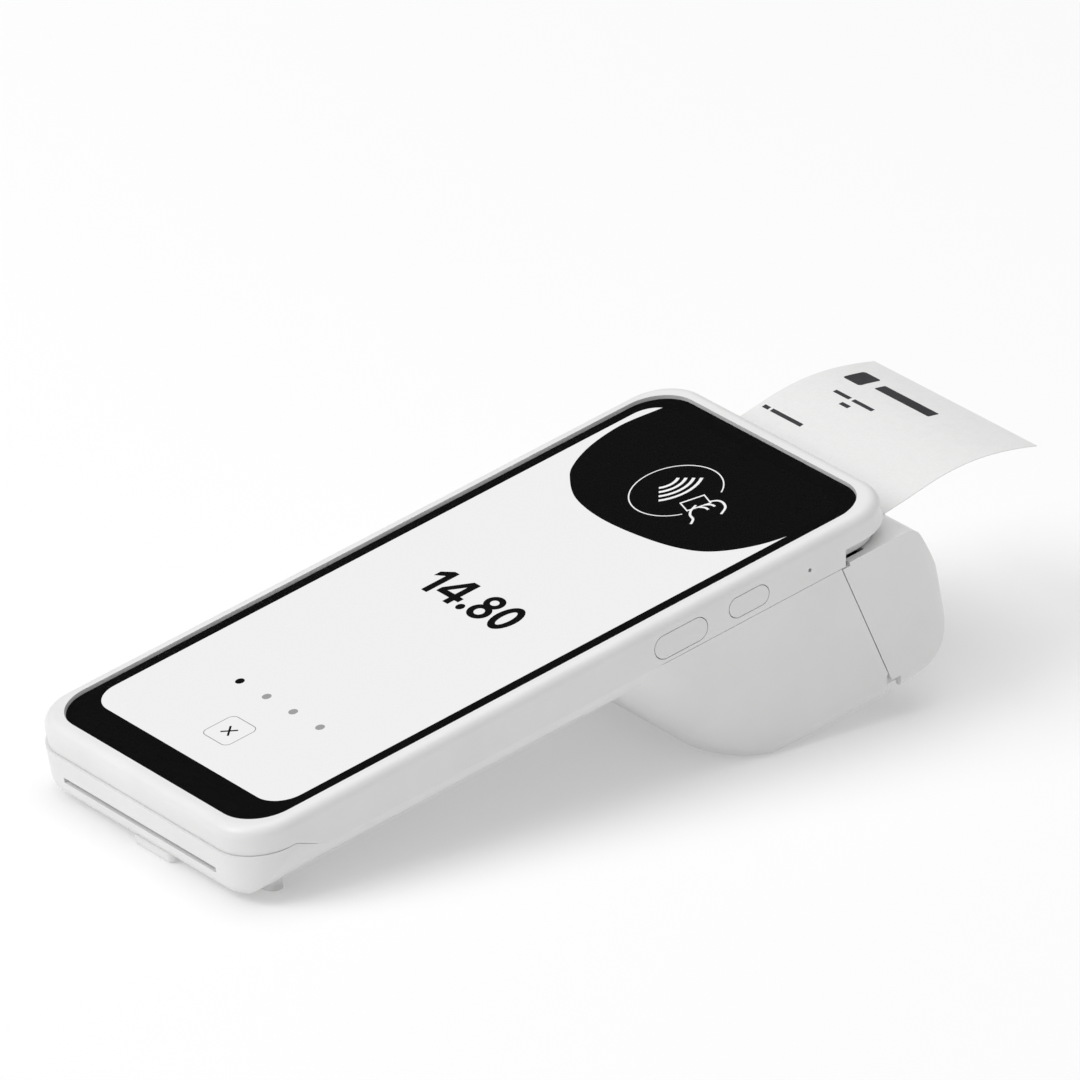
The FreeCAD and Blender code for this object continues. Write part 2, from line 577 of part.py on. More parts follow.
def screen():
    subpart("cover_glass", plate("glass", ("-glass_width / 2", "glass_width / 2"), ("0", "glass_length"),
                                 ("-glass_thick", "0"), "glass_corner"))
    under = ("-glass_thick - gasket_thick", "-glass_thick")
    ring = plate("gasket_out", ("-gasket_half", "gasket_half"),
                 ("gasket_edge", "glass_length - gasket_edge"), under,
                 "gasket_corner")
    window = plate("gasket_in", ("-gasket_inner", "gasket_inner"),
                   ("window_front + gasket_edge", "window_back - gasket_edge"), ("-far", "0"),
                   "window_corner")
    subpart("glass_gasket", cut("gasket", ring, window))
    panel = plate("panel", ("-panel_half", "panel_half"), ("panel_front", "panel_back"),
                  ("panel_low", "-glass_thick - optical_gap"), "panel_corner")
    notch = post("panel_notch", "camera_radius + 0.4", ("0", "camera_place"), ("-far", "0"))
    subpart("display_panel", cut("panel_cut", panel, notch))
    lens = post("camera_lens", "camera_radius", ("0", "camera_place"),
                ("camera_low", "-glass_thick - optical_gap"))
    base = box("camera_base", ("-camera_base", "camera_base"),
               ("camera_place - camera_base", "camera_place + camera_base"),
               ("camera_low", "frame_low + 0.1"))
    subpart("front_camera", join("camera", lens, base))
    tray = plate("mid_plate", ("-frame_half", "frame_half"), ("frame_front", "frame_rear"),
                 ("frame_low", "frame_top"),
                 "frame_corner")
    holes = screw_posts("mid_hole", "boss_radius + 0.2", ("-far", "0"))
    opening = box("mid_opening", ("-camera_base - 0.5", "camera_base + 0.5"),
                  ("camera_place - camera_base - 0.5", "4 * far"), ("-far", "0"))
    subpart("mid_frame", cut("mid_cut", tray, opening, *holes))


# ---------------------------------------------------------------- electronics
dims(board_half=30.6, board_front=36.0, board_back=112.0, board_low=-7.2, board_top=-6.2, board_corner=2.0)
dims(can_high=1.8, can_sheet=0.3, can_corner=1.0, can_outer=28.0)
dims(left_can_inner=-2.0, left_can_front=46.0, left_can_back=76.0)
dims(right_can_inner=4.0, right_can_front=58.0, right_can_back=92.0)
dims(battery_half=31.0, battery_front=36.0, battery_back=80.0)
dims(battery_low=-13.7, battery_top=-8.4, battery_corner=3.0)
dims(reader_half=30.0, reader_front=-1.1, reader_back=33.0)
dims(reader_low=-13.6, reader_top=-9.2, reader_stop=2.0)
dims(chip_half=6.0, chip_front=14.0, chip_back=24.0, chip_gap=0.1)
dims(ferrite_half=29.0, ferrite_front=113.0, ferrite_back=154.0)
dims(ferrite_low=-5.6, ferrite_top=-5.3, ferrite_corner=2.0)
dims(coil_inset=1.0, coil_band=6.0, coil_top=-5.05, coil_corner=4.0)
dims(speaker_left=9.0, speaker_right=29.0, speaker_front=100.0, speaker_back=113.0, speaker_low=-16.0)
dims(speaker_top=-9.5, speaker_corner=1.5)
dims(buzzer_radius=2.0, buzzer_left=-19.0, buzzer_right=-9.0, buzzer_place=101.0, buzzer_height=-12.5)
dims(usb_board_out=-36.6, usb_board_in=-22.0, usb_board_front=88.6)
dims(usb_board_back=103.0, usb_board_low=-10.5)
dims(usb_board_top=-9.8, port_half=4.5, port_thick=3.2, port_sheet=0.3, port_end=-33.0, port_inset=2.0)
dims(tongue_half=3.2, tongue_thick=0.7, tongue_inset=2.8, mic_block=1.2)


def electronics():
    subpart("main_board", plate("board", ("-board_half", "board_half"), ("board_front", "board_back"),
                                ("board_low", "board_top"), "board_corner"))
    cans = {
        "left": (("-can_outer", "left_can_inner"), ("left_can_front", "left_can_back")),
        "right": (("right_can_inner", "can_outer"), ("right_can_front", "right_can_back")),
    }
    for side, (x, y) in cans.items():
        can = plate(f"can_{side}", x, y, ("board_top", "board_top + can_high"), "can_corner")
        room = box(f"can_room_{side}", (f"{x[0]} + can_sheet", f"{x[1]} - can_sheet"),
                   (f"{y[0]} + can_sheet", f"{y[1]} - can_sheet"),
                   ("-far", "board_top + can_high - can_sheet"))
        subpart(f"shield_can_{side}", cut(f"can_cut_{side}", can, room))
    subpart("battery_pack",
            plate("battery", ("-battery_half", "battery_half"), ("battery_front", "battery_back"),
                                  ("battery_low", "battery_top"), "battery_corner"))
    reader = box("reader", ("-reader_half", "reader_half"), ("reader_front", "reader_back"),
                 ("reader_low", "reader_top"))
    slot = plate("reader_slot", ("-slot_half", "slot_half"),
                 ("reader_front - 5", "reader_back - reader_stop"),
                 ("slot_low", "slot_high"), "slot_corner")
    pocket = box("reader_pocket", ("-chip_half - chip_gap", "chip_half + chip_gap"),
                 ("chip_front - chip_gap", "chip_back + chip_gap"), ("slot_low", "0"))
    subpart("card_reader", cut("reader_cut", reader, slot, pocket))
    subpart("card_contacts", box("contacts", ("-chip_half", "chip_half"), ("chip_front", "chip_back"),
                                 ("slot_high + 0.05", "reader_top")))
    subpart("nfc_ferrite",
            plate("ferrite", ("-ferrite_half", "ferrite_half"), ("ferrite_front", "ferrite_back"),
                                 ("ferrite_low", "ferrite_top"), "ferrite_corner"))
    coil_half = "ferrite_half - coil_inset"
    coil_ends = ("ferrite_front + coil_inset", "ferrite_back - coil_inset")
    coil = plate("coil_out", (f"-({coil_half})", coil_half), coil_ends, ("ferrite_top", "coil_top"),
                 "coil_corner")
    middle = plate("coil_in", (f"-({coil_half}) + coil_band", f"{coil_half} - coil_band"),
                   (f"{coil_ends[0]} + coil_band", f"{coil_ends[1]} - coil_band"), ("-far", "0"),
                   "coil_corner / 2")
    subpart("nfc_antenna", cut("coil", coil, middle))
    subpart("speaker", plate("speaker_box", ("speaker_left", "speaker_right"),
                             ("speaker_front", "speaker_back"),
                             ("speaker_low", "speaker_top"), "speaker_corner"))
    subpart("vibration_motor", rod("buzzer", "buzzer_radius", ("buzzer_left", "buzzer_right"),
                                   ("buzzer_place", "buzzer_height")))
    subpart("usb_board", plate("usb_plate", ("usb_board_out", "usb_board_in"),
                               ("usb_board_front", "usb_board_back"),
                               ("usb_board_low", "usb_board_top"), "1"))
    subpart("microphone",
            box("mic", (f"{IN} - mic_block", IN), ("mic_place - mic_block", "mic_place + mic_block"),
                              ("mic_height - mic_block", "mic_height + mic_block")))


def usb_port():
    """The charging socket: a metal shell, its opening, and the tongue inside."""
    def span(half):
        return f"usb_place - {half}", f"usb_place + {half}"

    def rise(thick):
        return f"usb_height - ({thick}) / 2", f"usb_height + ({thick}) / 2"

    shell = capsule("usb_shell", (f"-({HALF}) + port_inset", "port_end"), span("port_half"),
                    rise("port_thick"))
    socket = capsule("usb_socket", (f"-({HALF}) - 1", "port_end - 1"), span("(port_half - port_sheet)"),
                     rise("port_thick - 2 * port_sheet"))
    tongue = box("usb_tongue", (f"-({HALF}) + tongue_inset", "port_end - 0.5"), span("tongue_half"),
                 rise("tongue_thick"))
    subpart("usb_port", join("usb", cut("usb_cut", shell, socket), tongue))


# ---------------------------------------------------------------- side keys, feet and screws
dims(flange_in=37.3, flange_out=37.95, flange_grow=0.8, flex_in=35.2, flex_out=35.5, dome_out=36.95)
dims(flex_front=100.5, flex_back=133.0, flex_low=-8.9, flex_top=-3.9, dome_half=1.5, dome_height=-6.1)
dims(rocker_place=108.5, rocker_axis=37.0, rocker_radius=0.5)
dims(rocker_half=1.2, volume_dome=3.9, power_dome=126.6)
dims(head_thick=0.9, drive_depth=0.5)


def keys():
    for label, span in (("volume_key", VOLUME), ("power_key", POWER)):
        cap = key_block(label + "_cap", ("flange_out", HALF), span, "0")
        flange = key_block(label + "_flange", ("flange_in", "flange_out"), span, "flange_grow")
        parts = [cap, flange]
        if label == "volume_key":
            parts.append(post("rocker", "rocker_radius", ("rocker_axis", "rocker_place"),
                              ("dome_height - rocker_half", "dome_height + rocker_half")))
        subpart(label, join(label + "_body", *parts))
    subpart("key_flex", box("flex", ("flex_in", "flex_out"), ("flex_front", "flex_back"),
                            ("flex_low", "flex_top")))
    domes = {"volume_up_switch": "(rocker_place + volume_dome)",
             "volume_down_switch": "(rocker_place - volume_dome)",
             "power_switch": "power_dome"}
    for label, y in domes.items():
        subpart(label, box(label + "_dome", ("flex_out", "dome_out"),
                           (f"{y} - dome_half", f"{y} + dome_half"),
                           ("dome_height - dome_half", "dome_height + dome_half")))


def feet_and_screws():
    for side_name, way in PADS.items():
        foot = post(f"foot_{side_name}", "foot_radius", (f"{way} * foot_side", "foot_place"),
                    ("foot_low - 2", "foot_top"))
        subpart(f"front_foot_{side_name}",
                cut(f"foot_cut_{side_name}", foot, below_table(f"foot_table_{side_name}")))
        pad_block = box(f"pad_{side_name}",
                        (f"{way} * pad_half - pad_width / 2", f"{way} * pad_half + pad_width / 2"),
                        ("pad_front", "pad_back"), ("2 * pod_base_low", "pod_base_low + pad_deep"))
        subpart(f"rear_pad_{side_name}",
                cut(f"pad_cut_{side_name}", pad_block, below_table(f"pad_table_{side_name}")))
    for i, centre in enumerate(SCREWS):
        head = post(f"screw_head_{i}", "screw_head", centre, ("screw_seat - head_thick", "screw_seat"))
        shank = post(f"screw_shank_{i}", "screw_radius", centre, ("screw_seat", "screw_tip"))
        socket = post(f"screw_socket_{i}", "screw_head / 2", centre,
                      ("-far", "screw_seat - head_thick + drive_depth"))
        subpart(f"housing_screw_{i + 1}", cut(f"screw_cut_{i}", join(f"screw_{i}", head, shank), socket))


# ---------------------------------------------------------------- receipt printer
dims(roll_place=135.0, roll_height=-27.6, roll_radius=14.5, core_radius=6.45, core_bore=5.2)
dims(bucket_radius=15.2, bucket_wall=1.2, bucket_half=29.4, bucket_low=-40.9, paper_thick=0.15)
dims(side_in=30.2, side_out=31.2, side_front=143.0)
dims(side_back=163.9, left_side_low=-30.5, right_side_low=-21.0)
dims(roof_front=148.0, roof_top=-6.6, roof_sheet=0.8, bar_front=143.4)
dims(bar_back=147.4, bar_low=-15.6, bar_top=-14.9, pin_proud=0.4)
dims(shaft_proud=0.3, motor_gap=0.35, tear_depth=0.6)
dims(notch_front=159.8, notch_low=-19.1, notch_top=-14.45, shaft_room=0.4)
dims(gear_low=-33.9, gear_high=-31.7, motor_radius=5.0)
dims(motor_end=-15.0, idler_pin_radius=1.0, motor_shaft_radius=0.75)
dims(print_half=28.8, print_front=154.9, print_back=162.3, print_low=-11.85, print_top=-10.9)
dims(sink_half=29.3, sink_front=153.5, sink_back=163.0, sink_top=-9.7)
dims(pivot_place=154.1, pivot_height=-10.3, pivot_radius=0.6, pivot_half=31.0)
dims(leaf_place=18.0, leaf_half=2.0, leaf_front=155.6, leaf_bend=157.0)
dims(leaf_back=161.5, leaf_low=-7.75, leaf_top=-7.4)
dims(leaf_tip=161.2, leaf_tip_low=-9.2, leaf_sheet=0.22)
dims(sensor_half=4.0, sensor_front=143.6, sensor_back=147.2, sensor_top=-13.3, rubber_half=28.7)
PLATEN_TEETH, IDLER_TEETH, MOTOR_TEETH = 20, 26, 16
IDLER_LEAN, MOTOR_LEAN = 177.76, -60.0
PIVOT = ("pivot_place", "pivot_height")
TEAR_TEETH = 30
STRIP_LINE = ((136.0, -12.92), (150.0, -12.33), (161.5, -12.09), (169.5, -11.0), (177.3, -10.2),
              (187.2, -9.2),
              (197.5, -9.75), (205.2, -11.5), (212.3, -13.9))


def beyond(start, teeth_a, teeth_b, lean):
    """The centre of a gear that meshes with another, in the direction `lean` degrees."""
    reach = value["gear_module"] * (teeth_a + teeth_b) / 2
    turn = math.radians(lean)
    return start[0] + reach * math.cos(turn), start[1] + reach * math.sin(turn)


def gear_layout():
    """Centres and first-tooth angles of the train: platen gear, idler gear, motor pinion."""
    platen = (value["platen_place"], value["platen_height"])
    idler = beyond(platen, PLATEN_TEETH, IDLER_TEETH, IDLER_LEAN)
    motor = beyond(idler, IDLER_TEETH, MOTOR_TEETH, MOTOR_LEAN)
    platen_phase = math.radians(IDLER_LEAN)
    half_idler, half_motor = math.pi / IDLER_TEETH, math.pi / MOTOR_TEETH
    idler_phase = math.radians(IDLER_LEAN - 180) + half_idler
    lag = (math.radians(MOTOR_LEAN) - idler_phase) % (2 * half_idler)
    motor_phase = math.radians(MOTOR_LEAN + 180) + lag * IDLER_TEETH / MOTOR_TEETH + half_motor
    return (platen, platen_phase), (idler, idler_phase), (motor, motor_phase)


def paper():
    roll = ("roll_place", "roll_height")
    width = ("-paper_half", "paper_half")
    wound = rod("wound", "roll_radius", width, roll)
    subpart("paper_roll", cut("wound_cut", wound, rod("wound_core", "core_radius", ("-far", "far"), roll)))
    core = rod("core", "core_radius", width, roll)
    subpart("roll_core", cut("core_cut", core, rod("core_hole", "core_bore", ("-far", "far"), roll)))
    drum = rod("drum", "bucket_radius + bucket_wall",
               ("-bucket_half - bucket_wall", "bucket_half + bucket_wall"), roll)
    room = rod("drum_room", "bucket_radius", ("-bucket_half", "bucket_half"), roll)
    rear = box("drum_rear", ("-far", "far"), ("roll_place + 1", "4 * far"), ("-far", "0"))
    low = box("drum_low", ("-far", "far"), ("0", "4 * far"), ("-far", "bucket_low"))
    subpart("paper_bucket", cut("bucket", drum, room, rear, low))


def receipt_strip():
    """The paper from the roll through the nip and the slot, ending in a gentle downward curl."""
    half, thick = value["paper_half"], value["paper_thick"] / 2
    edges = []
    for way in (-1, 1):
        curve = Part.BSplineCurve()
        curve.interpolate([V(-half, y, z + way * thick) for y, z in STRIP_LINE])
        edges.append(curve.toShape())
    lower, upper = edges
    ends = [Part.makeLine(lower.Vertexes[i].Point, upper.Vertexes[i].Point) for i in (0, 1)]
    face = Part.Face(Part.Wire(Part.__sortEdges__([lower, upper] + ends)))
    item = named("Part::Feature", "strip")
    item.Shape = face.extrude(V(2 * half, 0, 0))
    subpart("receipt_strip", item)


def printer_frame():
    _, (idler, _), (motor, _) = gear_layout()
    across = ("-side_out", "side_out")
    roof = box("frame_top", across, ("roof_front", "side_back"), ("roof_top - roof_sheet", "roof_top"))
    left = box("frame_left", ("-side_out", "-side_in"), ("side_front", "side_back"),
               ("left_side_low", "roof_top"))
    right = box("frame_right", ("side_in", "side_out"), ("side_front", "side_back"),
                ("right_side_low", "roof_top"))
    bar = box("frame_bar", across, ("bar_front", "bar_back"), ("bar_low", "bar_top"))
    notch = box("frame_notch", ("-far", "far"), ("notch_front", "4 * far"), ("notch_low", "notch_top"))
    shaft = rod("frame_shaft_hole", "motor_shaft_radius + shaft_room", ("-far", "0"), motor)
    stud = rod("frame_pin_hole", "idler_pin_radius", ("-far", "0"), idler)
    pivot = rod("frame_pivot_hole", "pivot_radius + running_gap", ("-far", "far"), PIVOT)
    subpart("printer_frame",
            cut("frame_cut", join("frame", roof, left, right, bar), notch, shaft, stud, pivot))


def print_head():
    subpart("print_head", box("head", ("-print_half", "print_half"), ("print_front", "print_back"),
                              ("print_low", "print_top")))
    sink = box("sink", ("-sink_half", "sink_half"), ("sink_front", "sink_back"), ("print_top", "sink_top"))
    subpart("head_heatsink",
            join("sink_whole", sink, rod("pivot", "pivot_radius", ("-pivot_half", "pivot_half"), PIVOT)))
    for side_name, way in PADS.items():
        leaf = prism(f"leaf_{side_name}", "leaf_half", (
            ("leaf_front", "leaf_low"), ("leaf_front", "leaf_top"), ("leaf_back", "leaf_top"),
            ("leaf_back", "leaf_low"), ("leaf_bend", "leaf_low"), ("leaf_tip", "leaf_tip_low"),
            ("leaf_tip - leaf_sheet", "leaf_tip_low - leaf_sheet")))
        moved = named("Part::Compound", f"leaf_at_{side_name}")
        moved.Links = [leaf]
        bind(moved, "Placement.Base.x", f"{way} * leaf_place")
        subpart(f"head_spring_{side_name}", moved)
    subpart("paper_sensor", box("sensor", ("-sensor_half", "sensor_half"), ("sensor_front", "sensor_back"),
                                ("bar_top", "sensor_top")))


def platen_and_gears():
    (platen, platen_phase), (idler, idler_phase), (motor, motor_phase) = gear_layout()
    x = ("gear_low", "gear_high")
    rubber = rod("rubber", "platen_radius", ("-rubber_half", "rubber_half"), PLATEN)
    subpart("platen_roller",
            cut("rubber_cut", rubber, rod("rubber_bore", "shaft_radius", ("-far", "far"), PLATEN)))
    subpart("platen_shaft", rod("shaft", "shaft_radius", ("-arm_out", "arm_out"), PLATEN))
    subpart("platen_gear", gear("platen_teeth", PLATEN_TEETH, x, platen, "shaft_radius", platen_phase))
    subpart("idler_gear",
            gear("idler_teeth", IDLER_TEETH, x, idler, "idler_pin_radius + running_gap", idler_phase))
    subpart("idler_pin", rod("stud", "idler_pin_radius", ("gear_low - pin_proud", "-side_in"), idler))
    subpart("motor_gear", gear("motor_teeth", MOTOR_TEETH, x, motor, "motor_shaft_radius", motor_phase))
    subpart("motor_shaft",
            rod("spindle", "motor_shaft_radius", ("gear_low - shaft_proud", "-side_in + shaft_proud"),
                motor))
    subpart("stepper_motor", rod("stepper", "motor_radius", ("-side_in + motor_gap", "motor_end"), motor))


def lid_hardware():
    blade = box("blade", ("-paper_half", "paper_half"), ("tear_front", "tear_back"),
                ("web_top", "tear_top"))
    first = f"(1 - {TEAR_TEETH}) / 2 * tear_pitch"
    teeth = [box(f"tear_tooth_{i}", (f"{first} + {i} * tear_pitch - tear_gap / 2",
                                     f"{first} + {i} * tear_pitch + tear_gap / 2"),
                 ("tear_back - tear_depth", "tear_back + 1"), ("-far", "0")) for i in range(TEAR_TEETH)]
    subpart("tear_bar", cut("blade_cut", blade, *teeth))
    subpart("hinge_pin", rod("lid_pin", "hinge_pin_radius", ("-pin_half", "pin_half"), HINGE))


# ---------------------------------------------------------------- build, check and export
top_housing()
lower_housing()
battery_cover()
printer_lid()
screen()
electronics()
usb_port()
keys()
feet_and_screws()
paper()
receipt_strip()
printer_frame()
print_head()
platen_and_gears()
lid_hardware()
doc.recompute()

for thing in doc.Objects:
    if "Invalid" in thing.State or "Error" in thing.State:
        raise RuntimeError(f"{thing.Name}: {thing.getStatusString()}")
for holder in nodes:
    if holder.Shape.isNull() or not holder.Shape.isValid() or not holder.Shape.Solids:
        raise RuntimeError(f"{holder.Label} has no valid solid")

os.makedirs("parts", exist_ok=True)
for holder in nodes:
    holder.Shape.exportStep(f"parts/{holder.Label}.step")
print(len(nodes), "sub-parts written")
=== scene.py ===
import json
import math

import bmesh
import bpy
from mathutils import Matrix, Vector
from mathutils.bvhtree import BVHTree


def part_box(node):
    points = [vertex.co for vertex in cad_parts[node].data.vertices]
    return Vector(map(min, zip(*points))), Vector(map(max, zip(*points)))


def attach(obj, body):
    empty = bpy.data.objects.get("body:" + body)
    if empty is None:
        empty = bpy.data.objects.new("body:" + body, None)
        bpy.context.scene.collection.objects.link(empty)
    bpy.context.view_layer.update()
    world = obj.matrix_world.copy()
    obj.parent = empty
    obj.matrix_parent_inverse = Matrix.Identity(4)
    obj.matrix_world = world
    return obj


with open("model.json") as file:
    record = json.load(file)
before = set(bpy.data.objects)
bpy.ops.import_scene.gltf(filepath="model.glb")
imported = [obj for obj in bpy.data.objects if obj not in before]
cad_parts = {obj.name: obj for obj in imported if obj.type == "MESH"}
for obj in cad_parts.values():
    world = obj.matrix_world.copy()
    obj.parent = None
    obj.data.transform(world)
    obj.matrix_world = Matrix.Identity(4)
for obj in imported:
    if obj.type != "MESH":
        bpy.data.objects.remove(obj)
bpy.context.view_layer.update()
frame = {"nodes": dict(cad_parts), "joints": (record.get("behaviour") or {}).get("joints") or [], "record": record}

NODES = frame["nodes"]
MM = 0.001
scene = bpy.context.scene

# ---------------------------------------------------------------- the device's own frame, millimetres
GLASS_LENGTH = 164.0
rock = next(j for j in frame["joints"] if j["name"] == "volume_rock")
LEAN = math.atan2(-rock["axis"][1], rock["axis"][2])
glass_low, glass_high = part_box("cover_glass")
ORIGIN = Vector((0.0, glass_low.y, glass_high.z - GLASS_LENGTH * MM * math.sin(LEAN)))
DEVICE = Matrix.Translation(ORIGIN) @ Matrix.Rotation(LEAN, 4, "X") @ Matrix.Scale(MM, 4)


# ---------------------------------------------------------------- camera, floor and light
AZIMUTH, ELEVATION = math.radians(53.82), math.radians(23.708)
ORIGIN_SEEN_AT = Vector((-81.211, 47.334, 3045.4)) * MM     # right, down and ahead of the camera
LENS, SENSOR = 490.0, 36.0
WORLD_DIFFUSE, WORLD_GLOSSY = 0.5, 0.12
FLOOR_HALF = 6.0


def make_camera():
    ahead = Vector((-math.sin(AZIMUTH) * math.cos(ELEVATION), math.cos(AZIMUTH) * math.cos(ELEVATION),
                    -math.sin(ELEVATION)))
    right = ahead.cross(Vector((0, 0, 1))).normalized()
    down = ahead.cross(right)
    away = ORIGIN_SEEN_AT
    eye = ORIGIN - right * away.x - down * away.y - ahead * away.z
    data = bpy.data.cameras.new("camera")
    data.lens, data.sensor_width = LENS, SENSOR
    data.clip_start, data.clip_end = 0.1, 60.0
    camera = bpy.data.objects.new("camera", data)
    scene.collection.objects.link(camera)
    turn = Matrix((right, -down, -ahead)).transposed().to_4x4()
    camera.matrix_world = Matrix.Translation(eye) @ turn
    scene.camera = camera


def make_light(name, spot, target, size, power, colour=(1.0, 1.0, 1.0)):
    data = bpy.data.lights.new(name, "AREA")
    data.shape, data.size, data.energy, data.color = "DISK", size, power, colour
    lamp = bpy.data.objects.new(name, data)
    scene.collection.objects.link(lamp)
    lamp.location = spot
    lamp.rotation_mode = "QUATERNION"
    lamp.rotation_quaternion = (Vector(target) - Vector(spot)).to_track_quat("-Z", "Y")


def make_world():
    """White studio: bright to the camera, a little dimmer as light and in reflections."""
    world = bpy.data.worlds.new("studio")
    world.use_nodes = True
    scene.world = world
    tree = world.node_tree
    back = tree.nodes["Background"]
    path = tree.nodes.new("ShaderNodeLightPath")
    seen = tree.nodes.new("ShaderNodeMix")
    seen.inputs[2].default_value, seen.inputs[3].default_value = WORLD_DIFFUSE, 1.0
    gloss = tree.nodes.new("ShaderNodeMix")
    gloss.inputs[3].default_value = WORLD_GLOSSY
    tree.links.new(path.outputs["Is Camera Ray"], seen.inputs[0])
    tree.links.new(path.outputs["Is Glossy Ray"], gloss.inputs[0])
    tree.links.new(seen.outputs[0], gloss.inputs[2])
    tree.links.new(gloss.outputs[0], back.inputs["Strength"])
    back.inputs["Color"].default_value = (1.0, 1.0, 1.0, 1.0)


# ---------------------------------------------------------------- materials
class Build:
    """One material with its Principled shader, and short calls for the nodes around it."""

    def __init__(self, name, colour, rough, **sockets):
        self.material = bpy.data.materials.new(name)
        self.material.use_nodes = True
        self.tree = self.material.node_tree
        self.shader = self.tree.nodes["Principled BSDF"]
        self.colour = colour
        self.shader.inputs["Roughness"].default_value = rough
        self.shader.inputs["Base Color"].default_value = (*colour, 1.0)
        for socket, number in sockets.items():
            self.shader.inputs[socket.replace("_", " ")].default_value = number
        self.place = self.tree.nodes.new("ShaderNodeTexCoord").outputs["Object"]

    def node(self, kind, **settings):
        made = self.tree.nodes.new(kind)
        for key, number in settings.items():
            setattr(made, key, number)
        return made

    def link(self, a, b):
        self.tree.links.new(a, b)

    def stretched(self, scale):
        """The object's coordinates, scaled per axis, for grain that runs one way."""
        mapping = self.node("ShaderNodeMapping")
        mapping.inputs["Scale"].default_value = scale
        self.link(self.place, mapping.inputs["Vector"])
        return mapping.outputs["Vector"]

    def noise(self, scale, detail=2.0, place=None, rough=0.5):
        made = self.node("ShaderNodeTexNoise")
        made.inputs["Scale"].default_value = scale
        made.inputs["Detail"].default_value = detail
        made.inputs["Roughness"].default_value = rough
        self.link(place or self.place, made.inputs["Vector"])
        return made.outputs["Fac"]

    def spread(self, source, low, high, start=0.3, end=0.7):
        made = self.node("ShaderNodeMapRange")
        for socket, number in zip(("From Min", "From Max", "To Min", "To Max"), (start, end, low, high)):
            made.inputs[socket].default_value = number
        self.link(source, made.inputs["Value"])
        return made.outputs["Result"]

    def tint(self, source, second, start=0.35, end=0.65):
        """Base colour that goes from the material's colour to `second` with a pattern."""
        ramp = self.node("ShaderNodeValToRGB")
        ramp.color_ramp.elements[0].position, ramp.color_ramp.elements[1].position = start, end
        ramp.color_ramp.elements[0].color = (*self.colour, 1.0)
        ramp.color_ramp.elements[1].color = (*second, 1.0)
        self.link(source, ramp.inputs["Fac"])
        self.link(ramp.outputs["Color"], self.shader.inputs["Base Color"])
        return ramp.outputs["Color"]

    def roughness(self, source, low, high):
        self.link(self.spread(source, low, high), self.shader.inputs["Roughness"])

    def bump(self, source, depth, strength=1.0):
        made = self.node("ShaderNodeBump")
        made.inputs["Strength"].default_value = strength
        made.inputs["Distance"].default_value = depth
        self.link(source, made.inputs["Height"])
        self.link(made.outputs["Normal"], self.shader.inputs["Normal"])


def shaded(colour, factor):
    return tuple(c * factor for c in colour)


def moulded(name, colour, rough, grain=2600.0, depth=0.00002, **sockets):
    """Spark-textured moulded plastic: fine pebble grain, faint clouding, slightly uneven gloss."""
    b = Build(name, colour, rough, **sockets)
    b.tint(b.noise(55.0, 3.0), shaded(colour, 0.965))
    pebble = b.noise(grain, 3.0)
    b.roughness(b.noise(140.0, 4.0), rough - 0.05, rough + 0.06)
    b.bump(pebble, depth, 0.55)
    return b.material


def metal(name, colour, rough, grain=(40.0, 2500.0, 2500.0), depth=0.000008, **sockets):
    """Worked metal with fine marks along one axis and faint staining."""
    b = Build(name, colour, rough, Metallic=1.0, **sockets)
    marks = b.noise(1.0, 3.0, b.stretched(grain))
    b.tint(b.noise(120.0, 4.0), shaded(colour, 0.86))
    b.roughness(marks, rough - 0.07, rough + 0.1)
    b.bump(marks, depth, 0.5)
    return b.material


def rubber(name, colour, rough=0.62, grain=4200.0, **sockets):
    """Matt rubber or ink with a fine dusty bloom."""
    b = Build(name, colour, rough, **sockets)
    b.tint(b.noise(260.0, 5.0), shaded(colour, 1.3))
    b.roughness(b.noise(700.0, 3.0), rough - 0.08, rough + 0.12)
    b.bump(b.noise(grain, 2.0), 0.00003, 0.6)
    return b.material


def paper_white(name, colour, rough=0.55):
    """Coated receipt paper: short fibres, faint mottling and a soft sheen."""
    b = Build(name, colour, rough, Sheen_Weight=0.08)
    fibre = b.noise(1.0, 5.0, b.stretched((2600.0, 900.0, 2600.0)), 0.6)
    b.tint(fibre, shaded(colour, 0.955))
    b.roughness(b.noise(400.0, 3.0), rough - 0.07, rough + 0.1)
    b.bump(fibre, 0.000012, 0.5)
    return b.material


def wound_paper(name, colour):
    """The roll: fibre as on the strip, with the turns showing as rings on its ends."""
    b = Build(name, colour, 0.62)
    low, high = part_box("paper_roll")
    middle = (low + high) / 2
    mapping = b.node("ShaderNodeMapping")
    mapping.inputs["Location"].default_value = -middle
    b.link(b.place, mapping.inputs["Vector"])
    wave = b.node("ShaderNodeTexWave", wave_type="RINGS", rings_direction="X")
    wave.inputs["Scale"].default_value = 620.0
    wave.inputs["Distortion"].default_value = 0.8
    b.link(mapping.outputs["Vector"], wave.inputs["Vector"])
    b.tint(wave.outputs["Fac"], shaded(colour, 0.82), 0.2, 0.9)
    b.roughness(b.noise(500.0, 3.0), 0.55, 0.72)
    b.bump(wave.outputs["Fac"], 0.00003, 0.5)
    return b.material


def solder_mask(name, colour):
    """Circuit board: dark mask over fine raised tracks."""
    b = Build(name, colour, 0.35, Coat_Weight=0.3)
    brick = b.node("ShaderNodeTexBrick")
    brick.inputs["Scale"].default_value = 130.0
    brick.inputs["Mortar Size"].default_value = 0.035
    b.link(b.place, brick.inputs["Vector"])
    b.tint(brick.outputs["Fac"], tuple(c * 2.1 + 0.01 for c in colour), 0.1, 0.9)
    b.roughness(b.noise(300.0, 3.0), 0.28, 0.45)
    b.bump(brick.outputs["Fac"], 0.00003, 0.7)
    return b.material


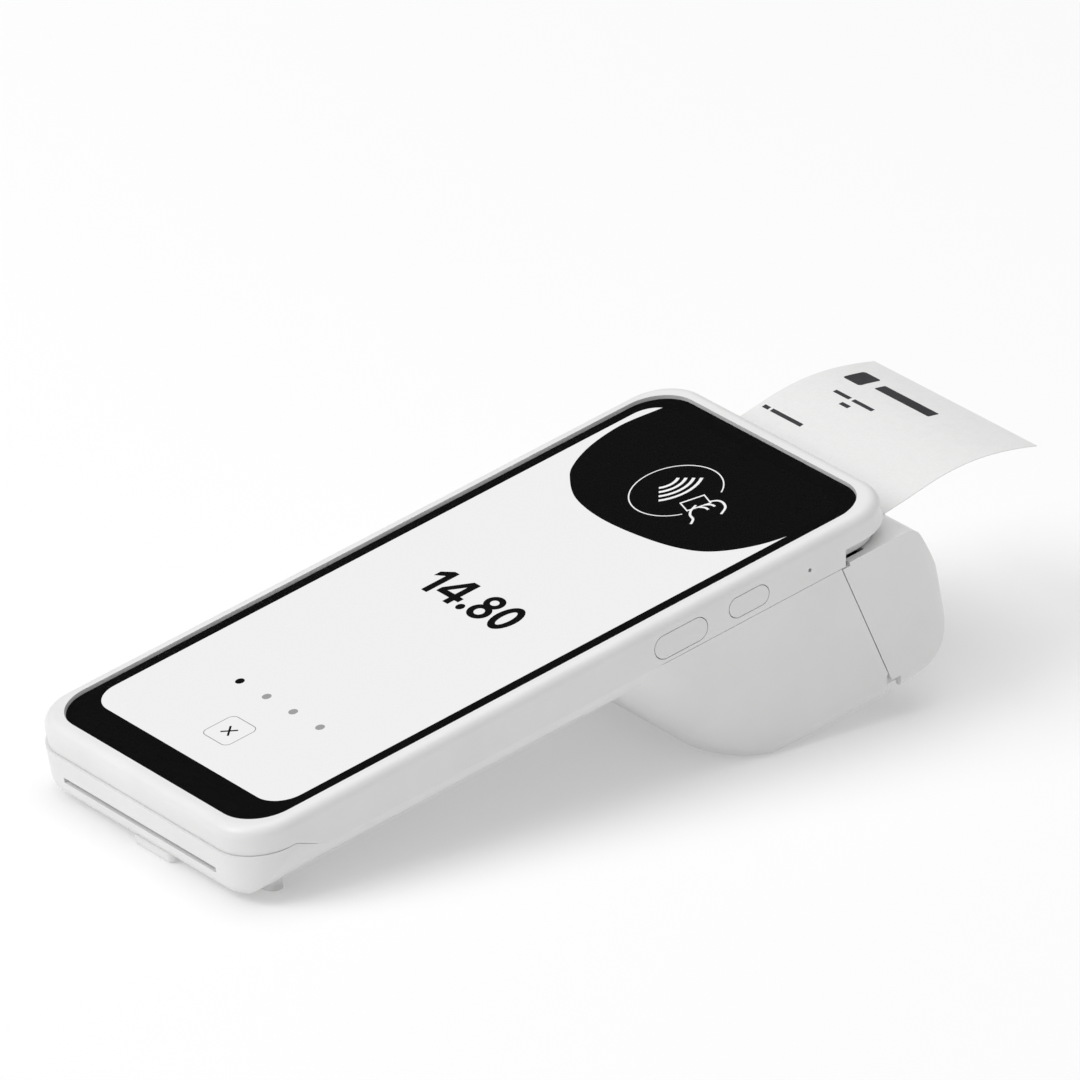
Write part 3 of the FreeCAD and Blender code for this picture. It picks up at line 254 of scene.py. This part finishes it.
def flexible_print(name, colour):
    """Polyimide film with copper tracks showing through."""
    b = Build(name, colour, 0.3)
    wave = b.node("ShaderNodeTexWave", bands_direction="Z")
    wave.inputs["Scale"].default_value = 900.0
    b.link(b.place, wave.inputs["Vector"])
    b.tint(wave.outputs["Fac"], (0.75, 0.38, 0.12), 0.45, 0.6)
    b.roughness(b.noise(500.0, 2.0), 0.24, 0.4)
    b.bump(wave.outputs["Fac"], 0.00002, 0.5)
    return b.material


def granular(name, colour, second, rough, grain=1800.0):
    """Sintered ferrite, ceramic or card: grains of two near shades."""
    b = Build(name, colour, rough)
    cells = b.node("ShaderNodeTexVoronoi")
    cells.inputs["Scale"].default_value = grain
    b.link(b.place, cells.inputs["Vector"])
    b.tint(cells.outputs["Distance"], second, 0.1, 0.8)
    b.roughness(b.noise(grain / 3, 3.0), rough - 0.08, rough + 0.1)
    b.bump(cells.outputs["Distance"], 0.00002, 0.4)
    return b.material


def clear_glass(name):
    """Cover glass: clear, with a thin reflection from its outer face only and faint smudges in it."""
    material = bpy.data.materials.new(name)
    material.use_nodes = True
    tree = material.node_tree
    tree.nodes.remove(tree.nodes["Principled BSDF"])
    place = tree.nodes.new("ShaderNodeTexCoord").outputs["Object"]
    smudge = tree.nodes.new("ShaderNodeTexNoise")
    smudge.inputs["Scale"].default_value, smudge.inputs["Detail"].default_value = 60.0, 4.0
    tree.links.new(place, smudge.inputs["Vector"])
    rough = tree.nodes.new("ShaderNodeMapRange")
    rough.inputs["To Min"].default_value, rough.inputs["To Max"].default_value = 0.03, 0.09
    tree.links.new(smudge.outputs["Fac"], rough.inputs["Value"])
    fresnel = tree.nodes.new("ShaderNodeFresnel")
    fresnel.inputs["IOR"].default_value = 1.2
    inside = tree.nodes.new("ShaderNodeNewGeometry").outputs["Backfacing"]
    front = tree.nodes.new("ShaderNodeMath")
    front.operation = "SUBTRACT"
    front.use_clamp = True
    tree.links.new(fresnel.outputs["Fac"], front.inputs[0])
    tree.links.new(inside, front.inputs[1])
    clear = tree.nodes.new("ShaderNodeBsdfTransparent")
    gloss = tree.nodes.new("ShaderNodeBsdfGlossy")
    tree.links.new(rough.outputs["Result"], gloss.inputs["Roughness"])
    mix = tree.nodes.new("ShaderNodeMixShader")
    tree.links.new(front.outputs["Value"], mix.inputs["Fac"])
    tree.links.new(clear.outputs["BSDF"], mix.inputs[1])
    tree.links.new(gloss.outputs["BSDF"], mix.inputs[2])
    tree.links.new(mix.outputs["Shader"], tree.nodes["Material Output"].inputs["Surface"])
    return material


def lit(name, colour, light):
    """A lit area of the display: its own light with the faint grid of its picture elements."""
    b = Build(name, (0.001, 0.001, 0.001), 0.25, Specular_IOR_Level=0.03)
    grid = b.noise(5200.0, 1.0)
    ramp = b.node("ShaderNodeValToRGB")
    ramp.color_ramp.elements[0].color = (*shaded(colour, 0.996), 1.0)
    ramp.color_ramp.elements[1].color = (*colour, 1.0)
    b.link(grid, ramp.inputs["Fac"])
    b.link(ramp.outputs["Color"], b.shader.inputs["Emission Color"])
    b.shader.inputs["Emission Strength"].default_value = light
    b.roughness(b.noise(300.0, 2.0), 0.2, 0.3)
    return b.material


WHITE = (0.80, 0.80, 0.797)
MATERIALS = {
    "shell_white": moulded("satin_white_plastic", WHITE, 0.36),
    "key_white": moulded("key_plastic", (0.78, 0.78, 0.777), 0.3, 3400.0),
    "glass_black": clear_glass("cover_glass_clear"),
    "gasket_black": rubber("foam_adhesive", (0.0015, 0.0015, 0.0015), 0.7, Specular_IOR_Level=0.03),
    "panel": lit("display_backlight", (1.0, 1.0, 1.0), 0.9),
    "dark_plastic": moulded("black_plastic", (0.035, 0.035, 0.038), 0.42),
    "grey_plastic": moulded("grey_plastic", (0.23, 0.235, 0.24), 0.45),
    "steel": metal("rolled_steel", (0.62, 0.62, 0.61), 0.3),
    "alloy": metal("cast_alloy", (0.56, 0.57, 0.58), 0.42, (1600.0, 1600.0, 1600.0)),
    "board": solder_mask("solder_mask", (0.012, 0.05, 0.03)),
    "flex": flexible_print("polyimide_flex", (0.42, 0.16, 0.03)),
    "battery": moulded("battery_wrap", (0.09, 0.095, 0.1), 0.38, 900.0, 0.00005),
    "brass": metal("gold_plated_contacts", (0.78, 0.56, 0.25), 0.28),
    "copper": metal("copper_coil", (0.78, 0.4, 0.24), 0.3, (900.0, 900.0, 40.0)),
    "ferrite": granular("sintered_ferrite", (0.03, 0.03, 0.032), (0.07, 0.07, 0.072), 0.6),
    "foot_rubber": rubber("light_foot_rubber", (0.66, 0.66, 0.655), 0.5, Subsurface_Weight=0.15),
    "platen_rubber": rubber("ground_platen_rubber", (0.035, 0.035, 0.037), 0.55),
    "paper": paper_white("receipt_paper", (0.80, 0.80, 0.795)),
    "core_card": granular("core_card", (0.34, 0.27, 0.19), (0.42, 0.35, 0.26), 0.8, 2600.0),
    "gear_plastic": moulded("acetal", (0.72, 0.7, 0.64), 0.33, 1800.0),
    "ceramic": granular("print_head_ceramic", (0.3, 0.29, 0.27), (0.36, 0.35, 0.33), 0.25),
}
ROLL = wound_paper("wound_receipt_paper", (0.80, 0.80, 0.79))
INK = rubber("printed_border", (0.001, 0.001, 0.001), 0.5, Specular_IOR_Level=0.03)
PRINT = rubber("thermal_print", (0.03, 0.03, 0.035), 0.6)
LINE_WHITE = lit("screen_white_line", (1.0, 1.0, 1.0), 0.92)
DARK = lit("screen_dark_area", (0.001, 0.001, 0.001), 1.0)
BLACK = lit("screen_black_text", (0.002, 0.002, 0.002), 1.0)
GREY = lit("screen_grey_dot", (0.36, 0.36, 0.36), 1.0)


def dress_cad():
    for entry in frame["record"]["subparts"]:
        node = NODES[entry["node"]]
        material = ROLL if entry["node"] == "paper_roll" else MATERIALS[entry["material_slot"]]
        node.data.materials.clear()
        node.data.materials.append(material)


# ---------------------------------------------------------------- flat shapes in the device frame
def arc(x, y, radius, start, end, steps=12):
    """Points of an arc about (x, y), angles in degrees."""
    angles = [math.radians(start + (end - start) * i / steps) for i in range(steps + 1)]
    return [(x + radius * math.cos(a), y + radius * math.sin(a)) for a in angles]


def soft_rectangle(left, right, front, back, radius):
    corners = ((right, back, 0), (left, back, 90), (left, front, 180), (right, front, 270))
    points = []
    for x, y, turn in corners:
        middle_x = x - radius if x == right else x + radius
        middle_y = y - radius if y == back else y + radius
        points += arc(middle_x, middle_y, radius, turn, turn + 90)
    return points


def stroke(points, width, closed=False):
    """The outline of a line of constant width through points."""
    count = len(points)
    left, right = [], []
    for i, (x, y) in enumerate(points):
        before = points[i - 1] if i or closed else points[i]
        after = points[(i + 1) % count] if i + 1 < count or closed else points[i]
        dx, dy = after[0] - before[0], after[1] - before[1]
        size = math.hypot(dx, dy)
        nx, ny = -dy / size * width / 2, dx / size * width / 2
        left.append((x + nx, y + ny))
        right.append((x - nx, y - ny))
    return [left, right] if closed else [left + right[::-1]]


def flat_mesh(name, loops, thick):
    """A thin closed plate from outlines; a loop inside another one is a hole."""
    curve = bpy.data.curves.new(name, "CURVE")
    curve.dimensions, curve.fill_mode, curve.extrude = "2D", "BOTH", thick / 2
    for loop in loops:
        spline = curve.splines.new("POLY")
        spline.points.add(len(loop) - 1)
        for point, (x, y) in zip(spline.points, loop):
            point.co = (x, y, 0.0, 1.0)
        spline.use_cyclic_u = True
    return mesh_of(name, curve)


def mesh_of(name, curve):
    holder = bpy.data.objects.new(name + "_curve", curve)
    scene.collection.objects.link(holder)
    bpy.context.view_layer.update()
    mesh = bpy.data.meshes.new_from_object(holder.evaluated_get(bpy.context.evaluated_depsgraph_get()))
    bpy.data.objects.remove(holder)
    bpy.data.curves.remove(curve)
    return mesh


def finish_piece(name, mesh, matrix, material, body):
    """Put a mesh in place in the row frame, with its material, riding on a body."""
    mesh.transform(matrix)
    mesh.materials.clear()
    mesh.materials.append(material)
    piece = bpy.data.objects.new(name, mesh)
    scene.collection.objects.link(piece)
    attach(piece, body)
    return piece


def on_device(x, y, z):
    return DEVICE @ Matrix.Translation((x, y, z))


# ---------------------------------------------------------------- the lit screen
PLATE = 0.008
INK_HEIGHT, TOP_HEIGHT, SHAPE_HEIGHT = -0.815, -0.83, -0.842
LEFT, RIGHT, FRONT, BACK = -34.3, 33.3, 8.9, 159.9
DARK_OUTLINE = ((-31.5, 157.3), (-32.7, 148.7), (-31.2, 139.5), (-27.8, 132.3), (-23.8, 128.3),
                (-16.0, 124.1), (-5.0, 122.5), (7.9, 123.4), (18.8, 125.8), (25.9, 129.8),
                (31.4, 137.6), (33.8, 146.5), (33.6, 156.0))
INK_HALF, INK_EDGE, INK_CORNER, WINDOW_CORNER = 36.9, 0.1, 9.4, 6.5
LENS_PLACE, LENS_CLEAR = 158.6, 1.15
NOTCH = ((5.4, 0.0), (3.6, 0.7), (1.9, 2.9), (0.0, 3.9), (-1.9, 2.9), (-3.6, 0.7), (-5.4, 0.0))
RING, RING_RADIUS, RING_GAP = (-1.0, 139.7), 10.2, (34, 330)
WAVE_FIRST, WAVE_PITCH, WAVE_TURN = 4.2, 1.75, 38
THIN_LINE, SIGN_LINE, WAVE_LINE = 0.3, 0.55, 0.75
DOT_ROW, DOT_RADIUS = 33.7, 1.05
AMOUNT_LOW, FIGURE = 80.5, 8.9
CANCEL, CROSS = (0.5, 20.5), 1.35


def smooth_line(points, steps=8):
    """A smooth line through points (Catmull-Rom)."""
    made = []
    for i in range(len(points) - 1):
        a, b = points[max(i - 1, 0)], points[i]
        c, d = points[i + 1], points[min(i + 2, len(points) - 1)]
        for k in range(steps):
            t = k / steps
            made.append(tuple(
                0.5 * (2 * q + (r - p) * t + (2 * p - 5 * q + 4 * r - s) * t * t
                       + (3 * q - p - 3 * r + s) * t ** 3)
                for p, q, r, s in zip(a, b, c, d)))
    return made + [points[-1]]


def screen_piece(name, loops, height, material):
    mesh = flat_mesh(name, loops, PLATE)
    return finish_piece(name, mesh, on_device(0, 0, height), material, "case")


def border():
    """Black print on the back of the glass, round the picture, with a drop-shaped camera notch."""
    window = soft_rectangle(LEFT, RIGHT, FRONT, BACK, WINDOW_CORNER)
    notch = [(x, BACK - deep) for x, deep in NOTCH]
    split = next(i for i, (x, y) in enumerate(window) if x < 0 and y == max(q for _, q in window))
    window = window[:split] + [(x, y - 0.0001) for x, y in smooth_line(notch, 5)] + window[split:]
    outer = soft_rectangle(-INK_HALF, INK_HALF, INK_EDGE, GLASS_LENGTH - INK_EDGE, INK_CORNER)
    lens = arc(0.0, LENS_PLACE, LENS_CLEAR, 0, 330, 11)
    finish_piece("screen_border", flat_mesh("screen_border", [outer, window, lens], PLATE),
                 on_device(0, 0, INK_HEIGHT), INK, "case")


def dark_area():
    line = smooth_line(DARK_OUTLINE)
    screen_piece("screen_dark_area", [line + [(33.4, 160.2), (-31.0, 160.2)]], SHAPE_HEIGHT, DARK)


def contactless_sign():
    """A broken ring with four waves, and a hand that holds a card in the ring's gap."""
    x, y = RING
    ring = arc(x, y, RING_RADIUS, *RING_GAP, 60)
    screen_piece("sign_ring", stroke(ring, THIN_LINE), TOP_HEIGHT, LINE_WHITE)
    for i in range(4):
        wave = arc(x - 7.2, y + 0.9, WAVE_FIRST + WAVE_PITCH * i, -WAVE_TURN, WAVE_TURN, 10)
        screen_piece(f"sign_wave_{i}", stroke(wave, WAVE_LINE), TOP_HEIGHT, LINE_WHITE)
    card = ((4.9, -2.6), (8.6, -3.6), (10.1, 1.6), (6.4, 2.7))
    outline = [(x + u, y + v) for u, v in card]
    screen_piece("sign_card", stroke(outline, SIGN_LINE, True), TOP_HEIGHT, LINE_WHITE)
    lines = {
        "thumb": ((13.6, -6.4), (12.4, -4.9), (10.6, -4.3), (9.2, -3.0), (8.3, -1.0)),
        "back": ((15.6, 0.2), (14.2, 2.4), (12.2, 3.3), (10.6, 3.1), (9.5, 1.8)),
        "finger_1": ((9.6, 0.2), (10.8, 1.2), (12.0, 1.3)),
        "finger_2": ((9.2, -1.2), (10.6, -0.4), (11.9, -0.4)),
    }
    for name, points in lines.items():
        line = smooth_line([(x + u, y + v) for u, v in points], 5)
        screen_piece("sign_" + name, stroke(line, SIGN_LINE), TOP_HEIGHT, LINE_WHITE)


def oval(x, y, half, tall, steps=28):
    return [(x + half * math.cos(2 * math.pi * i / steps), y + tall * math.sin(2 * math.pi * i / steps))
            for i in range(steps)]


def amount():
    """The amount 14.80 in bold narrow figures, each one a plate drawn from its outline."""
    low, high, middle = AMOUNT_LOW, AMOUNT_LOW + FIGURE, AMOUNT_LOW + FIGURE * 0.54
    figures = {
        "one": [[(-12.9, low), (-11.0, low), (-11.0, high), (-12.6, high), (-15.3, high - 1.9),
                 (-15.3, high - 3.7), (-12.9, high - 2.3)]],
        "four": [[(-5.3, low), (-3.4, low), (-3.4, low + 1.8), (-2.1, low + 1.8), (-2.1, low + 3.4),
                  (-3.4, low + 3.4), (-3.4, high), (-5.7, high), (-9.9, low + 3.4), (-9.9, low + 1.8),
                  (-5.3, low + 1.8)], [(-5.3, low + 3.4), (-7.9, low + 3.4), (-5.3, high - 2.2)]],
        "point": [oval(-0.3, low + 1.1, 1.1, 1.1, 20)],
        "eight_top": [oval(4.6, middle + 1.8, 2.75, 2.35), oval(4.6, middle + 1.8, 1.15, 0.95)],
        "eight_foot": [oval(4.6, low + 2.5, 3.1, 2.65), oval(4.6, low + 2.5, 1.3, 1.2)],
        "nought": [oval(11.6, (low + high) / 2, 3.2, FIGURE / 2 + 0.1),
                   oval(11.6, (low + high) / 2, 1.3, FIGURE / 2 - 1.6)],
    }
    for name, loops in figures.items():
        lift = 0.003 if name == "eight_foot" else 0.0
        screen_piece(f"amount_{name}", loops, TOP_HEIGHT + lift, BLACK)


def pin_entry():
    for i, (x, material) in enumerate(((-14.0, BLACK), (-4.3, GREY), (5.25, GREY), (14.9, GREY))):
        screen_piece(f"pin_dot_{i + 1}", [arc(x, DOT_ROW, DOT_RADIUS, 0, 345, 23)], TOP_HEIGHT, material)
    frame_line = soft_rectangle(-4.0, 5.0, 16.3, 24.9, 1.6)
    screen_piece("cancel_frame", stroke(frame_line, 0.22, True), TOP_HEIGHT, GREY)
    x, y = CANCEL
    for i, way in enumerate((-1, 1)):
        line = [(x - CROSS, y - CROSS * way), (x + CROSS, y + CROSS * way)]
        screen_piece(f"cancel_stroke_{i + 1}", stroke(line, 0.5), TOP_HEIGHT - 0.01 * i, BLACK)


# ---------------------------------------------------------------- thermal print on the receipt
def strip_tree():
    node = NODES["receipt_strip"]
    return BVHTree.FromPolygons([v.co for v in node.data.vertices], [p.vertices for p in node.data.polygons])


def drape(mesh, tree, origin, lift):
    """Lay a flat mesh (mm) on the strip: its x across the paper, its y along it, from origin (m)."""
    for vertex in mesh.vertices:
        x, y = origin[0] + vertex.co.x * MM, origin[1] + vertex.co.y * MM
        hit = tree.ray_cast(Vector((x, y, 0.2)), Vector((0, 0, -1)))
        vertex.co = hit[0] + Vector((0, 0, lift + vertex.co.z * MM))
    mesh.update()


def divided(mesh, step):
    """Cut a flat mesh across its length so that it can follow a curve."""
    work = bmesh.new()
    work.from_mesh(mesh)
    low = min(v.co.y for v in work.verts)
    high = max(v.co.y for v in work.verts)
    cuts = int((high - low) / step)
    for i in range(1, cuts + 1):
        bmesh.ops.bisect_plane(work, geom=work.verts[:] + work.edges[:] + work.faces[:],
                               plane_co=(0, low + (high - low) * i / (cuts + 1), 0), plane_no=(0, 1, 0))
    work.to_mesh(mesh)
    work.free()


def receipt_print():
    tree = strip_tree()
    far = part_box("receipt_strip")[1].y
    rows = {
        "receipt_mark": (-20.5, -9.5, [soft_rectangle(-3.0, 3.0, -3.0, 3.0, 0.8)]),
        "receipt_head_bar": (-5.0, -9.3, [soft_rectangle(-9.5, 9.5, -1.5, 1.5, 0.4)]),
        "receipt_line_1": (-12.0, -18.0, [soft_rectangle(-7.0, -1.5, -0.55, 0.55, 0.1),
                                          soft_rectangle(-0.5, 6.5, -0.55, 0.55, 0.1)]),
        "receipt_line_2": (-12.0, -20.6, [soft_rectangle(-1.5, 1.5, -0.55, 0.55, 0.1)]),
        "receipt_line_3": (-20.0, -31.0, [soft_rectangle(-7.0, -5.0, -0.5, 0.5, 0.1),
                                          soft_rectangle(-4.2, 6.5, -0.5, 0.5, 0.1)]),
    }
    for name, (x, y, loops) in rows.items():
        mesh = flat_mesh(name, loops, PLATE)
        divided(mesh, 0.8)
        drape(mesh, tree, (x * MM, far + y * MM), 0.00001)
        finish_piece(name, mesh, Matrix.Identity(4), PRINT, "case")


# ---------------------------------------------------------------- studio
def make_floor():
    half = FLOOR_HALF
    mesh = bpy.data.meshes.new("floor")
    corners = [(-half, -half, 0), (half, -half, 0), (half, half, 0), (-half, half, 0)]
    mesh.from_pydata(corners, [], [(0, 1, 2, 3)])
    b = Build("pale_floor", (0.72, 0.72, 0.72), 0.8, Specular_IOR_Level=0.1, Emission_Strength=0.23)
    b.shader.inputs["Emission Color"].default_value = (1.0, 1.0, 1.0, 1.0)
    b.tint(b.noise(3.0, 2.0), (0.715, 0.715, 0.715))
    mesh.materials.append(b.material)
    floor = bpy.data.objects.new("floor", mesh)
    scene.collection.objects.link(floor)


scene.view_settings.view_transform = "Standard"
make_camera()
make_world()
make_floor()
make_light("key_light", (-0.7, -1.9, 1.9), (0, 0, 0.02), 1.9, 34.0)
make_light("top_light", (-0.3, 0.3, 2.6), (0, 0, 0), 2.6, 25.0)
dress_cad()
border()
dark_area()
contactless_sign()
amount()
pin_entry()
receipt_print()
